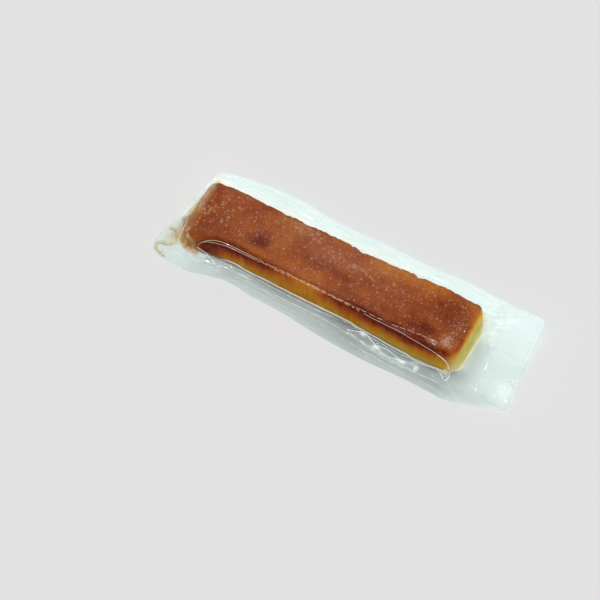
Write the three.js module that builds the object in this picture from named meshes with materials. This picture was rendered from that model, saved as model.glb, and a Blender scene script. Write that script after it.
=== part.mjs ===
// Bar of toasted nougat lying sealed in its own clear bag, in millimetres with +Z up.
// X runs along the bar toward the wide end flap, Y runs toward the bag's back edge,
// and the flat underside that the bar lies on is at Z = 0, centred on the origin.

import * as THREE from 'three';
import { ParametricGeometry } from 'three/addons/geometries/ParametricGeometry.js';
import { mergeVertices } from 'three/addons/utils/BufferGeometryUtils.js';

// Bar under the film
const BAR_LENGTH = 192;
const BAR_WIDTH = 42;
const BAR_HEIGHT = 21;
const BAR_CORNER_RADIUS = 7.5;
const TOP_EDGE_RADIUS = 6;
const BASE_EDGE = 2.5;

// Swells and waists of the soft bar's long sides: place along the bar, length and amount outward
const FRONT_SWELLS = [[-86, 9, 1.3], [-50, 17, -1.3], [71, 19, 1.2]];
const BACK_SWELLS = [[-76, 11, 0.8], [20, 16, -1], [62, 15, 1.2]];

// Dents in the toasted top: a round dent, a long shallow sag and a corner that has slumped
const DENT_CENTRE = [-43, -7];
const DENT_RADIUS = 10;
const DENT_DEPTH = 1.3;
const SAG_CENTRE = [12, -4];
const SAG_SIZE = [46, 9];
const SAG_DEPTH = 0.8;
const SLUMP_CENTRE = [-95, -20];
const SLUMP_RADIUS = 17;
const SLUMP_DEPTH = 11;

// Bag in plan: the skirt of film that stands out round the bar
const FRONT_SKIRT = 17.5;
const BACK_SKIRT = 18;
const NARROW_FLAP = 10;
const WIDE_FLAP = 34.5;
const BAG_CORNER = [24, 16];
const BAG_CORNER_SQUARENESS = 0.2;
const WIDE_FLAP_SLANT = 0.087;
const NARROW_FLAP_SLANT = 0.115;
const WIDE_TRIM = 9.5;
const WIDE_TRIM_LENGTH = 36;
const NARROW_TRIM = 8;
const NARROW_TRIM_LENGTH = 13;
const FRONT_EDGE_SWELLS = [[-20, 25, -4.5], [-56, 18, -5.5]];
const BACK_EDGE_SWELLS = [[-58, 30, 3.5], [-104, 14, -3]];

// Film: two layers pressed together, and how high they stand off the table
const FILM = 0.4;
const FOOT_HEIGHT = 1.2;
const FOOT_FLARE = 1.6;
const FOOT_FLARE_POWER = 3;
const FRONT_FILLET = 3;
const FRONT_FILLET_FADE = [25, 75];
const TENT_HEIGHT = 8;
const SIDE_FILLET_REACH = 0.3;
const NARROW_FILLET_REACH = 0.7;
const SKIRT_RISE_POWER = 0.7;
const FRONT_EDGE_LIFT = 0.8;
const BACK_EDGE_LIFT = 5;
const PLEAT_HEIGHT = 0.9;
const PLEAT_PITCH = 0.28;
const WAVE_HEIGHT = 0.7;
const WAVE_LENGTH = 58;
const FLAP_ARCH = 2.6;
const CRUMPLE_HEIGHT = 0.4;
const CRUMPLE_PITCH = 11;
const TUCK_HEIGHT = 2.5;
const TUCK_HALF_ANGLE = 0.5;

// Facets round the outline and from the top to the underside
const END_STEPS = 10;
const CORNER_STEPS = 7;
const SIDE_STEPS = 38;
const TOP_RINGS = 4;
const EDGE_RINGS = 4;
const WALL_RINGS = 3;
const SKIRT_RINGS = 7;
const BASE_RINGS = 2;

// Distances and sines that count as nothing
const WELD_DISTANCE = 1e-3;
const ROUNDING_ERROR = 1e-9;

const { smoothstep, lerp } = THREE.MathUtils;

// One walk round a rounded rectangle, from the middle of the wide-flap end.
// Each station holds its place on the straight core (-1 to 1) and the angle of its corner arc.
function walkOutline() {
  const stations = [];
  const quarter = Math.PI / 2;
  const addRun = (steps, from, to, angle) => {
    for (let step = 0; step < steps; step += 1) {
      const part = step / steps;
      stations.push({
        core: [lerp(from[0], to[0], part), lerp(from[1], to[1], part)],
        angle: lerp(angle[0], angle[1], part) * quarter,
      });
    }
  };
  addRun(END_STEPS / 2, [1, 0], [1, 1], [0, 0]);
  addRun(CORNER_STEPS, [1, 1], [1, 1], [0, 1]);
  addRun(SIDE_STEPS, [1, 1], [-1, 1], [1, 1]);
  addRun(CORNER_STEPS, [-1, 1], [-1, 1], [1, 2]);
  addRun(END_STEPS, [-1, 1], [-1, -1], [2, 2]);
  addRun(CORNER_STEPS, [-1, -1], [-1, -1], [2, 3]);
  addRun(SIDE_STEPS, [-1, -1], [1, -1], [3, 3]);
  addRun(CORNER_STEPS, [1, -1], [1, -1], [3, 4]);
  addRun(END_STEPS / 2, [1, -1], [1, 0], [4, 4]);
  return stations;
}

// Signed power, which squares a corner arc up as the exponent falls below one.
function signedPower(value, exponent) {
  return Math.sign(value) * Math.abs(value) ** exponent;
}

// A sine or cosine without the rounding error that it has at a quarter turn.
function cleaned(value) {
  return Math.abs(value) < ROUNDING_ERROR ? 0 : value;
}

// Point of a rounded rectangle: its core point plus the arc of its corner.
function roundedPoint(station, halfLength, halfWidth, corner, squareness) {
  const cosine = cleaned(Math.cos(station.angle));
  const sine = cleaned(Math.sin(station.angle));
  return [
    station.core[0] * (halfLength - corner[0]) + corner[0] * signedPower(cosine, squareness),
    station.core[1] * (halfWidth - corner[1]) + corner[1] * signedPower(sine, squareness),
  ];
}

// Sum of swells at one place along a side: each is a smooth bump, or a waist where it is negative.
function swellAt(x, swells) {
  return swells.reduce((sum, [centre, length, amount]) => (
    sum + amount * Math.exp(-(((x - centre) / length) ** 2))
  ), 0);
}

// How much a point shares in the slump of the bar's corner, from 0 to 1 at its centre.
function slumpShare(x, y) {
  const reach = Math.hypot(x - SLUMP_CENTRE[0], y - SLUMP_CENTRE[1]) / SLUMP_RADIUS;
  return Math.exp(-(reach ** 2));
}

// Plain rectangle of the bar, grown outward by a distance or, where that is negative, drawn in.
function moulded(station, growth) {
  const radius = BAR_CORNER_RADIUS + growth;
  const halfLength = BAR_LENGTH / 2 + growth;
  const halfWidth = BAR_WIDTH / 2 + growth;
  return roundedPoint(station, halfLength, halfWidth, [radius, radius], 1);
}

// Outline of the soft bar: the moulded rectangle pushed out or in by its swells.
function barPoint(station, growth) {
  const [x, y] = moulded(station, growth);
  const swell = swellAt(x, y < 0 ? FRONT_SWELLS : BACK_SWELLS);
  return [x, y * (1 + swell / (BAR_WIDTH / 2))];
}

// Outline of the bag: a squarish rectangle with slanted ends, swelling sides and trimmed front corners.
function bagPoint(station) {
  const halfLength = (BAR_LENGTH + NARROW_FLAP + WIDE_FLAP) / 2;
  const halfWidth = (BAR_WIDTH + FRONT_SKIRT + BACK_SKIRT) / 2;
  const [x, y] = roundedPoint(station, halfLength, halfWidth, BAG_CORNER, BAG_CORNER_SQUARENESS);
  const along = x + (WIDE_FLAP - NARROW_FLAP) / 2;
  const across = y + (BACK_SKIRT - FRONT_SKIRT) / 2;
  const slant = x > 0 ? -WIDE_FLAP_SLANT : NARROW_FLAP_SLANT;
  const endShare = smoothstep(Math.abs(x), halfLength - BAG_CORNER[0], halfLength);
  const trimLength = x > 0 ? WIDE_TRIM_LENGTH : NARROW_TRIM_LENGTH;
  const trimmed = x > 0 ? WIDE_TRIM : NARROW_TRIM;
  const trim = trimmed * smoothstep(Math.abs(x), halfLength - trimLength, halfLength);
  const back = swellAt(along, BACK_EDGE_SWELLS) * smoothstep(y, 0, halfWidth);
  const front = (swellAt(along, FRONT_EDGE_SWELLS) - trim) * smoothstep(-y, 0, halfWidth);
  return [along + slant * y * endShare, across + back - front];
}

// Height of the toasted top, with its dents.
function topHeight(x, y) {
  const dentReach = Math.hypot(x - DENT_CENTRE[0], y - DENT_CENTRE[1]) / DENT_RADIUS;
  const sagReach = Math.hypot((x - SAG_CENTRE[0]) / SAG_SIZE[0], (y - SAG_CENTRE[1]) / SAG_SIZE[1]);
  return BAR_HEIGHT
    - DENT_DEPTH * Math.exp(-(dentReach ** 2))
    - SAG_DEPTH * Math.exp(-(sagReach ** 2))
    - SLUMP_DEPTH * slumpShare(x, y);
}

// Height at which the lower film leaves the bar: tucked up in a pointed fold at each firm corner.
function footHeight(station) {
  const turn = (station.angle / (Math.PI / 2)) % 1;
  const offCorner = Math.abs(turn - 0.5) / TUCK_HALF_ANGLE;
  const tuck = TUCK_HEIGHT * Math.max(0, 1 - offCorner) ** 2;
  return FOOT_HEIGHT + tuck * (1 - slumpShare(...barPoint(station, FOOT_FLARE)));
}

// How near a point on the outline is to the bar's narrow-flap end, from 0 on the sides to 1 on the end.
function narrowShare(x) {
  return smoothstep(-x, BAR_LENGTH / 2 - BAR_CORNER_RADIUS, BAR_LENGTH / 2);
}

// Height of the fillet in which the upper film slopes off the wall: high along the back and the
// narrow end, where the film hangs like a tent, and none at the front's wide-flap end or the slump.
function filletHeight(station) {
  const [x, y] = barPoint(station, FOOT_FLARE);
  const front = FRONT_FILLET * (1 - smoothstep(x, ...FRONT_FILLET_FADE));
  const tented = Math.max(smoothstep(y, 0, BAR_WIDTH / 2), narrowShare(x));
  return lerp(front, TENT_HEIGHT, tented) * (1 - slumpShare(x, y));
}

// Underside of the film skirt, from the bar's foot (0) to the bag's edge (1).
function skirtPoint(station, reach) {
  const foot = barPoint(station, FOOT_FLARE);
  const edge = bagPoint(station);
  const x = lerp(foot[0], edge[0], reach);
  const y = lerp(foot[1], edge[1], reach);
  const edgeLift = lerp(FRONT_EDGE_LIFT, BACK_EDGE_LIFT, smoothstep(y, -BAR_WIDTH / 2, BAR_WIDTH));
  const wave = WAVE_HEIGHT * Math.sin((2 * Math.PI * x) / WAVE_LENGTH) * reach;
  const endShare = smoothstep(Math.abs(x), BAR_LENGTH / 2, BAR_LENGTH / 2 + NARROW_FLAP);
  const pleat = PLEAT_HEIGHT / 2 * (1 - Math.cos((2 * Math.PI * reach) / PLEAT_PITCH)) * (1 - reach);
  const arch = x > 0 ? FLAP_ARCH * Math.sin(Math.PI * reach) : 0;
  const crumple = x < 0 ? CRUMPLE_HEIGHT * Math.sin((2 * Math.PI * y) / CRUMPLE_PITCH) * reach : 0;
  const height = lerp(footHeight(station), edgeLift, reach ** SKIRT_RISE_POWER)
    + wave + pleat * (1 - endShare) + (arch + crumple) * endShare;
  return [x, y, Math.max(height, 0)];
}

// Bands of the surface, in order from the top's spine, out over the edge and back underneath.
// Each gives a point for a station and a share from 0 to 1 across its own band.
const spineHalf = BAR_LENGTH / 2 - BAR_WIDTH / 2;

function spinePoint(station) {
  const [x] = moulded(station, -TOP_EDGE_RADIUS);
  return [THREE.MathUtils.clamp(x, -spineHalf, spineHalf), 0];
}

function topBand(station, share) {
  const rim = barPoint(station, -TOP_EDGE_RADIUS);
  const spine = spinePoint(station);
  const x = lerp(spine[0], rim[0], share);
  const y = lerp(spine[1], rim[1], share);
  return [x, y, topHeight(x, y)];
}

function edgeBand(station, share) {
  const turn = (share * Math.PI) / 2;
  const [rimX, rimY] = barPoint(station, -TOP_EDGE_RADIUS);
  const [x, y] = barPoint(station, TOP_EDGE_RADIUS * (Math.sin(turn) - 1));
  return [x, y, topHeight(rimX, rimY) - TOP_EDGE_RADIUS * (1 - Math.cos(turn))];
}

function wallBand(station, share) {
  const [x, y] = barPoint(station, FOOT_FLARE * share ** FOOT_FLARE_POWER);
  const shoulder = edgeBand(station, 1)[2];
  return [x, y, lerp(shoulder, footHeight(station) + FILM + filletHeight(station), share)];
}

// The upper film slopes down from the wall in a fillet before it meets the lower one.
function skirtTopBand(station, share) {
  const [x, y, z] = skirtPoint(station, share);
  const [footX] = barPoint(station, FOOT_FLARE);
  const reach = lerp(SIDE_FILLET_REACH, NARROW_FILLET_REACH, narrowShare(footX));
  const fillet = filletHeight(station) * Math.max(0, 1 - share / reach) ** 2;
  return [x, y, z + FILM + fillet];
}

function rimBand(station, share) {
  const [x, y, z] = skirtPoint(station, 1);
  return [x, y, z + FILM * (1 - share)];
}

function skirtUnderBand(station, share) {
  return skirtPoint(station, 1 - share);
}

function heelBand(station, share) {
  const [x, y] = barPoint(station, lerp(FOOT_FLARE, -BASE_EDGE, share));
  return [x, y, footHeight(station) * (1 - share)];
}

function baseBand(station, share) {
  const rim = barPoint(station, -BASE_EDGE);
  const spine = spinePoint(station);
  return [lerp(rim[0], spine[0], share), lerp(rim[1], spine[1], share), 0];
}

const BANDS = [
  { rings: TOP_RINGS, point: topBand },
  { rings: EDGE_RINGS, point: edgeBand },
  { rings: WALL_RINGS, point: wallBand },
  { rings: SKIRT_RINGS, point: skirtTopBand },
  { rings: 1, point: rimBand },
  { rings: SKIRT_RINGS, point: skirtUnderBand },
  { rings: 1, point: heelBand },
  { rings: BASE_RINGS, point: baseBand },
];

// Sealed bag as one closed surface over the stations and the bands.
// It is walked from the last band back to the first, so that its facets face outward.
function sealedBagGeometry() {
  const stations = walkOutline();
  const ringCount = BANDS.reduce((sum, band) => sum + band.rings, 0);
  const surface = (u, v, target) => {
    const station = stations[Math.round(u * stations.length) % stations.length];
    let ring = Math.round((1 - v) * ringCount);
    let index = 0;
    while (ring > BANDS[index].rings) {
      ring -= BANDS[index].rings;
      index += 1;
    }
    target.set(...BANDS[index].point(station, ring / BANDS[index].rings));
  };
  const geometry = new ParametricGeometry(surface, stations.length, ringCount);
  geometry.deleteAttribute('normal');
  geometry.deleteAttribute('uv');
  return withoutSlivers(mergeVertices(geometry, WELD_DISTANCE));
}

// Drops the facets that closing the spine has left with two corners on one point.
function withoutSlivers(geometry) {
  const corners = geometry.getIndex().array;
  const kept = [];
  for (let first = 0; first < corners.length; first += 3) {
    const [a, b, c] = corners.slice(first, first + 3);
    if (a !== b && b !== c && c !== a) {
      kept.push(a, b, c);
    }
  }
  geometry.setIndex(kept);
  return geometry;
}

const nougatUnderFilm = new THREE.MeshStandardMaterial({
  color: '#934a2b',
  roughness: 0.2,
  metalness: 0,
});

const sealedBag = new THREE.Mesh(sealedBagGeometry(), nougatUnderFilm);
sealedBag.name = 'sealed_bag';

const part = new THREE.Group();
part.add(sealedBag);

export default part;
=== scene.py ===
import bmesh
import bpy
import numpy as np
from mathutils import Matrix, Vector


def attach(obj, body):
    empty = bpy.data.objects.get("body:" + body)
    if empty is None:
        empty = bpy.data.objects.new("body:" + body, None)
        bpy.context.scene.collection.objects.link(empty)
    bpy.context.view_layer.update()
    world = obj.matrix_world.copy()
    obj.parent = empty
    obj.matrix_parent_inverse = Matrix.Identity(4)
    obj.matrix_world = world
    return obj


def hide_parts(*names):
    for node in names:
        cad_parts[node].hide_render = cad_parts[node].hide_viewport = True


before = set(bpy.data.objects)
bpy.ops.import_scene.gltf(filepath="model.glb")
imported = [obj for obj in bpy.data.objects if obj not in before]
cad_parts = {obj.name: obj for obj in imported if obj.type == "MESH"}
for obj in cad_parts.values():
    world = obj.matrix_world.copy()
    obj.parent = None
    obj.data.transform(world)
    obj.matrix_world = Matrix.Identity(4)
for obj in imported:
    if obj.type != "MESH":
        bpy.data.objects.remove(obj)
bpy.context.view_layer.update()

# Camera
# It looks down on the bar from the front right through a long lens, with no shift.
# Lengths in this file are millimetres, and MM turns them to Blender's metres.
MM = 0.001
VIEW_AZIMUTH = np.radians(30.65)
VIEW_ELEVATION = np.radians(55.954)
VIEW_DISTANCE = 918.5
VIEW_CENTRE = (-18.25, -10.86)
LENS = 90
SENSOR = 36

toward_eye = np.array([
    np.sin(VIEW_AZIMUTH) * np.cos(VIEW_ELEVATION),
    -np.cos(VIEW_AZIMUTH) * np.cos(VIEW_ELEVATION),
    np.sin(VIEW_ELEVATION),
])
picture_right = np.array([np.cos(VIEW_AZIMUTH), np.sin(VIEW_AZIMUTH), 0])
picture_up = np.cross(toward_eye, picture_right)
eye = VIEW_CENTRE[0] * picture_right + VIEW_CENTRE[1] * picture_up + VIEW_DISTANCE * toward_eye

scene = bpy.context.scene
camera = bpy.data.objects.new("camera", bpy.data.cameras.new("camera"))
camera.data.lens = LENS
camera.data.sensor_width = SENSOR
axes = np.column_stack([picture_right, picture_up, toward_eye])
camera.matrix_world = Matrix.Translation(Vector(eye * MM)) @ Matrix(axes.tolist()).to_4x4()
scene.collection.objects.link(camera)
scene.camera = camera


# Nougat bar
# A bar of soft egg-yolk and almond paste, pressed in a long mould, dusted with sugar and toasted
# with a hot iron, which leaves a caramel skin on top that runs down over the edges.
BAR_LENGTH = 192
BAR_WIDTH = 42
BAR_HEIGHT = 21
BAR_CORNER = 7.5
TOP_EDGE = 6
BASE_EDGE = 2.5
FRONT_SWELLS = ((-86, 9, 1.3), (-50, 17, -1.3), (71, 19, 1.2))
BACK_SWELLS = ((-76, 11, 0.8), (20, 16, -1), (62, 15, 1.2))
DENT_CENTRE, DENT_RADIUS, DENT_DEPTH = (-43, -7), 10, 1.3
SAG_CENTRE, SAG_SIZE, SAG_DEPTH = (12, -4), (46, 9), 0.8
SLUMP_CENTRE, SLUMP_RADIUS, SLUMP_DEPTH = (-95, -20), 17, 11
BASE_SOFTENING, BASE_SOFT_FADE = 1.5, (15, 70)
END_SPREAD, END_SPREAD_POWER, END_SHARPENING = 1.2, 3, 1.3
FILM_GAP, LEAST_GAP = 0.35, 0.15
BAR_TOP_ROWS, BAR_EDGE_ROWS, BAR_WALL_ROWS, BAR_HEEL_ROWS, BAR_BASE_ROWS = 26, 21, 18, 8, 4


def ramp(value, start, end):
    """Goes from 0 where the value is start to 1 where it is end, along 3t^2 - 2t^3."""
    share = np.clip((value - start) / (end - start), 0, 1)
    return share * share * (3 - 2 * share)


def bump_at(x, y, centre, size):
    """Round bump of height one: e to the minus squared distance from its centre, in sizes."""
    return np.exp(-((x - centre[0]) / size[0]) ** 2 - ((y - centre[1]) / size[1]) ** 2)


def spots_at(x, y, spots):
    """Sum of round bumps, each with its centre, its size both ways and its amount."""
    return sum(amount * bump_at(x, y, centre, size) for centre, size, amount in spots)


def swell_along(x, swells):
    """Sum of bumps along a side, each with its place, its length and its amount outward."""
    return sum(amount * np.exp(-((x - place) / length) ** 2) for place, length, amount in swells)


def lumps(points, size, seed, waves=20):
    """Uneven field of about unit strength: sines of plane waves of many headings, of about one size."""
    draw = np.random.default_rng(seed)
    headings = draw.normal(size=(waves, 3))
    headings /= np.linalg.norm(headings, axis=1, keepdims=True)
    turns = 2 * np.pi / (size * draw.uniform(0.7, 1.5, waves))
    phases = draw.uniform(0, 2 * np.pi, waves)
    return np.sin(points @ (headings * turns[:, None]).T + phases).sum(-1) * np.sqrt(2 / waves)


def walk_outline(end_steps, corner_steps, side_steps):
    """One walk round a rounded rectangle, counterclockwise from the middle of the wide-flap end.
    Each station has its place on the straight core, from -1 to 1, and the angle of its corner arc."""
    corners = (1, -1), (1, 1), (-1, 1), (-1, -1), (1, -1)
    stretches = []
    for turn, (start, end) in enumerate(zip(corners[:-1], corners[1:])):
        count = side_steps if turn % 2 else end_steps
        stretches.append(np.linspace((*start, turn), (*end, turn), count, endpoint=False))
        stretches.append(np.linspace((*end, turn), (*end, turn + 1), corner_steps, endpoint=False))
    core_x, core_y, quarters = np.roll(np.concatenate(stretches), -(end_steps // 2), axis=0).T
    return core_x, core_y, quarters * np.pi / 2


def moulded(walk, growth):
    """Rounded rectangle of the bar: its straight core and corner arcs, grown outward by a distance."""
    core_x, core_y, angle = walk
    radius = BAR_CORNER + growth
    x = core_x * (BAR_LENGTH / 2 - BAR_CORNER) + radius * np.cos(angle)
    y = core_y * (BAR_WIDTH / 2 - BAR_CORNER) + radius * np.sin(angle)
    return x, y


def slump_share(x, y):
    """How much a point shares in the slump of the bar's corner, from 0 to 1 at its centre."""
    return bump_at(x, y, SLUMP_CENTRE, (SLUMP_RADIUS, SLUMP_RADIUS))


def bar_outline(walk, growth):
    """Outline of the soft bar: the moulded rectangle pushed out or in by its swells."""
    x, y = moulded(walk, growth)
    swell = np.where(y < 0, swell_along(x, FRONT_SWELLS), swell_along(x, BACK_SWELLS))
    return x, y * (1 + swell / (BAR_WIDTH / 2))


def top_height(x, y):
    """Height of the toasted top: level, less a round dent, a long sag and a slumped corner."""
    return (
        BAR_HEIGHT
        - DENT_DEPTH * bump_at(x, y, DENT_CENTRE, (DENT_RADIUS, DENT_RADIUS))
        - SAG_DEPTH * bump_at(x, y, SAG_CENTRE, SAG_SIZE)
        - SLUMP_DEPTH * slump_share(x, y)
    )


def stacked(x, y, z):
    """Rings of points from arrays that broadcast to rings by stations."""
    return np.stack(np.broadcast_arrays(x, y, z), axis=-1)


def steps(start, end, count):
    """Column of even steps from start to end, without the start."""
    return np.linspace(start, end, count + 1)[1:, None]


def flat_rings(walk, rim, shares):
    """Straight lines from the bar's spine, at share 0, to a rim, at share 1, seen from above."""
    rim_x, rim_y = rim
    spine_half = (BAR_LENGTH - BAR_WIDTH) / 2
    spine_x = np.clip(moulded(walk, -TOP_EDGE)[0], -spine_half, spine_half)
    return spine_x + (rim_x - spine_x) * shares, rim_y * shares


def top_rings(walk, rows):
    """Flat of the top: rings from the bar's spine out to the rim, lifted to the top's height."""
    x, y = flat_rings(walk, bar_outline(walk, -TOP_EDGE), np.linspace(0, 1, rows + 1)[:, None])
    return stacked(x, y, top_height(x, y))


def edge_rings(walk, leans):
    """Rounded top edge: a quarter circle turned out and down from the rim by each lean angle."""
    x, y = bar_outline(walk, TOP_EDGE * (np.sin(leans) - 1))
    rim_height = top_height(*bar_outline(walk, -TOP_EDGE))
    return stacked(x, y, rim_height - TOP_EDGE * (1 - np.cos(leans)))


def outward_at(walk, lean):
    """Direction that each point faces: its station's heading, tipped from straight up by its lean."""
    return stacked(np.cos(walk[2]) * np.sin(lean), np.sin(walk[2]) * np.sin(lean), np.cos(lean))


def closed_mesh(name, sheets, fields):
    """Mesh of one or more sheets, each of quads between neighbouring rings and stations, with every ring
    closed on itself. End rings fold flat, and welding closes them. Fields go on the points."""
    points, quads, start = [], [], 0
    for rings in sheets:
        index = start + np.arange(rings[..., 0].size).reshape(rings.shape[:2])
        along = np.roll(index, -1, axis=1)
        quads.append(np.stack([index[:-1], index[1:], along[1:], along[:-1]], axis=-1).reshape(-1, 4))
        points.append(rings.reshape(-1, 3))
        start += index.size
    mesh = bpy.data.meshes.new(name)
    mesh.from_pydata((np.concatenate(points) * MM).tolist(), [], np.concatenate(quads).tolist())
    for field, parts in fields.items():
        spread = [np.broadcast_to(part, rings.shape[:2]).ravel() for part, rings in zip(parts, sheets)]
        layer = mesh.attributes.new(field, "FLOAT", "POINT")
        layer.data.foreach_set("value", np.concatenate(spread).astype(np.float32))
    work = bmesh.new()
    work.from_mesh(mesh)
    bmesh.ops.remove_doubles(work, verts=work.verts, dist=1e-6)
    work.to_mesh(mesh)
    work.free()
    mesh.polygons.foreach_set("use_smooth", np.ones(len(mesh.polygons), dtype=bool))
    piece = bpy.data.objects.new(name, mesh)
    scene.collection.objects.link(piece)
    return piece


bar_walk = walk_outline(end_steps=36, corner_steps=16, side_steps=236)
heading_x, heading_y = np.cos(bar_walk[2]), np.sin(bar_walk[2])
wide_share, narrow_share = np.clip((heading_x, -heading_x), 0, 1) ** 2
back_share, front_share = np.clip((heading_y, -heading_y), 0, 1) ** 2

top = top_rings(bar_walk, BAR_TOP_ROWS)
edge_leans = steps(0, np.pi / 2, BAR_EDGE_ROWS)
edge = edge_rings(bar_walk, edge_leans)
shoulder = edge[-1, :, 2]
wall_x, wall_y = bar_outline(bar_walk, 0)
firm = 1 - slump_share(wall_x, wall_y)
base_round = BASE_EDGE + BASE_SOFTENING * firm * (1 - ramp(wall_x, *BASE_SOFT_FADE))
base_round = base_round - END_SHARPENING * wide_share
wall_shares = steps(0, 1, BAR_WALL_ROWS)
wall_x, wall_y = bar_outline(bar_walk, END_SPREAD * wide_share * wall_shares ** END_SPREAD_POWER)
wall = stacked(wall_x, wall_y, shoulder + (base_round - shoulder) * wall_shares)
heel_leans = steps(np.pi / 2, np.pi, BAR_HEEL_ROWS)
heel_x, heel_y = bar_outline(bar_walk, base_round * (np.sin(heel_leans) - 1) + END_SPREAD * wide_share)
heel = stacked(heel_x, heel_y, base_round * (1 + np.cos(heel_leans)))
base = stacked(*flat_rings(bar_walk, (heel_x[-1], heel_y[-1]), steps(1, 0, BAR_BASE_ROWS)), 0)

bar = np.concatenate([top, edge, wall, heel, base])
lean = np.concatenate([
    np.zeros((len(top), 1)),
    edge_leans,
    np.full((len(wall), 1), np.pi / 2),
    heel_leans,
    np.full((len(base), 1), np.pi),
])

# The caramel thins down the walls, from nearly black at 1 through orange to the gold of the paste at 0:
# by place along the front, low on the wall and high on it, and by height alone on the other walls.
FRONT_BAKE = (
    (-96, 0.95, 0.9), (-75, 0.93, 1.06), (-70, 0.86, 1.06), (-65, 0.58, 1.06), (-60, 0.38, 1.02),
    (-50, 0.38, 0.96), (-40, 0.37, 0.93), (-30, 0.36, 0.67), (-20, 0.37, 0.60), (-10, 0.36, 0.49),
    (0, 0.39, 0.47), (10, 0.28, 0.70), (20, 0.40, 0.79), (30, 0.43, 0.84), (40, 0.28, 0.95),
    (50, 0.30, 0.99), (60, 0.24, 0.88), (70, 0.22, 0.92), (78, 0.30, 0.98), (86, 0.12, 0.72),
    (96, 0.10, 0.6),
)
BAKE_LOW, BAKE_HIGH = 6, 15
ORANGE_BAKE = 0.6
REAR_ORANGE_HEIGHT, WIDE_ORANGE_HEIGHT = 13, 22.5
FADE_DEPTH = 15

x, y, z = np.moveaxis(bar, -1, 0)
bake_place, bake_low, bake_high = np.transpose(FRONT_BAKE)
front_low, front_high = np.interp(x, bake_place, bake_low), np.interp(x, bake_place, bake_high)
flat_points = bar * (1, 1, 0.4)
bake = (
    front_share * (front_low + (front_high - front_low) * (z - BAKE_LOW) / (BAKE_HIGH - BAKE_LOW))
    + (back_share + narrow_share) * (ORANGE_BAKE + (z - REAR_ORANGE_HEIGHT) / FADE_DEPTH)
    + wide_share * (ORANGE_BAKE + (z - WIDE_ORANGE_HEIGHT) / FADE_DEPTH)
    + 0.03 * lumps(flat_points, 2.2, seed=3)
    + 0.03 * lumps(flat_points, 7, seed=4)
)

# The caramel skin ends on the rounded edge at a lean angle, which changes by place along the front. It
# covers the slumped corner, and ends on the wide end at a line that rises toward the back.
SKIN_LEAN = 0.8
FRONT_SKIN_LEAN = ((-84, 1.4), (-79, 1.25), (-74, 0.95), (-66, 0.8))
WIDE_END_LINE, WIDE_END_RISE = 18.4, 1.5

skin_lean = SKIN_LEAN + (np.interp(x, *np.transpose(FRONT_SKIN_LEAN)) - SKIN_LEAN) * front_share
side_skin = np.maximum(ramp(lean - skin_lean, 0.25, -0.25), ramp(slump_share(x, y), 0.38, 0.55))
end_line = WIDE_END_LINE + WIDE_END_RISE * ramp(y, -10, 8)
end_skin = ramp(z - end_line - 0.2 * lumps(bar, 6, seed=5), -2, 1.5)
end_skin = np.maximum(end_skin, ramp(lean, 0.6, 0.2))
above_heel = lean < 2
skin = (side_skin + (end_skin - side_skin) * wide_share) * above_heel
pale = wide_share * ramp(end_line - z, -0.5, 6.5)

# How far the sugar has toasted: 0 is pale amber, 0.5 the red-brown of most of the top, 1 nearly black.
# It is paler or darker in spots, darkest in a slanting burn, and dark along parts of the front edge.
TOAST_SPOTS = (
    ((36, 18), (30, 7), -0.18), ((60, 17), (18, 6), -0.12), ((0, -4), (24, 4), 0.15),
    ((81, 2), (10, 14), 0.15), ((71, -12), (7, 4), 0.24), ((34, -13), (16, 4), 0.06),
    ((-34, 0), (9, 9), -0.10), ((-20, -14), (26, 5), -0.10), ((90, -18), (7, 6), -0.12),
    ((89, 18), (5, 5), -0.26),
)
BURN_CENTRE, BURN_SIZE, BURN_SLANT = (-48.5, -8), (7.5, 5), 0.4
EDGE_TOAST = (
    (-82, 0), (-74, 0.5), (-66, 1), (-40, 1), (-25, 0.2), (0, 0), (15, 0.4), (30, 1), (55, 1),
    (70, 0.4), (84, 0.1), (96, 0.1),
)
toast = (
    0.48
    + 0.035 * lumps(bar, 22, seed=11)
    + 0.015 * lumps(bar, 7, seed=12)
    + spots_at(x, y, TOAST_SPOTS)
    + 0.34 * bump_at(x + BURN_SLANT * y, y, BURN_CENTRE, BURN_SIZE)
    + 0.02 * ramp(x, 10, 60)
    + 0.04 * ramp(x, -45, -70)
    + 0.06 * ramp(y, -9, -17) * ramp(x, 0, 30)
    + 0.16 * ramp(lean, 0.1, 0.7) * front_share * np.interp(x, *np.transpose(EDGE_TOAST))
    - 0.35 * slump_share(x, y) * ramp(z, 6, 1)
)

# Sugar bloom and tiny bubbles caught under the film show as pale flecks and wisps, crowded in a few
# places and none on the walls, and as frosty streaks along the wide-flap end.
BLOOM_SPOTS = (
    ((-80, 1), (15, 12), 2), ((-55, 3), (14, 12), 0.35), ((30, 2), (40, 9), 0.3),
    ((-23, 14), (14, 4), 0.6), ((-46, -8), (8, 6), -0.6),
)
WISP_SPOTS = (
    ((-35, -2), (9, 9), 0.35), ((-23, 14), (15, 5), 1.35), ((8, 5), (18, 6), 0.6),
    ((48, 6), (24, 9), 0.45), ((-46, -8), (6, 5), -0.6),
)
FROST_SPOTS = (((85.8, -14), (3.4, 5), 1), ((88, -2), (3, 9), 0.5))
BARE = -4
on_wall = ramp(lean, 0.3, 0.8)
bloom = (0.05 + spots_at(x, y, BLOOM_SPOTS)) * (1 - on_wall) + BARE * on_wall
wisps = 0.28 + spots_at(x, y, WISP_SPOTS) - 0.30 * ramp(x, -50, -75)
wisps = wisps * (1 - on_wall) + BARE * on_wall
frost = spots_at(x, y, FROST_SPOTS) * ramp(lean, 1, 0.5)

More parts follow.
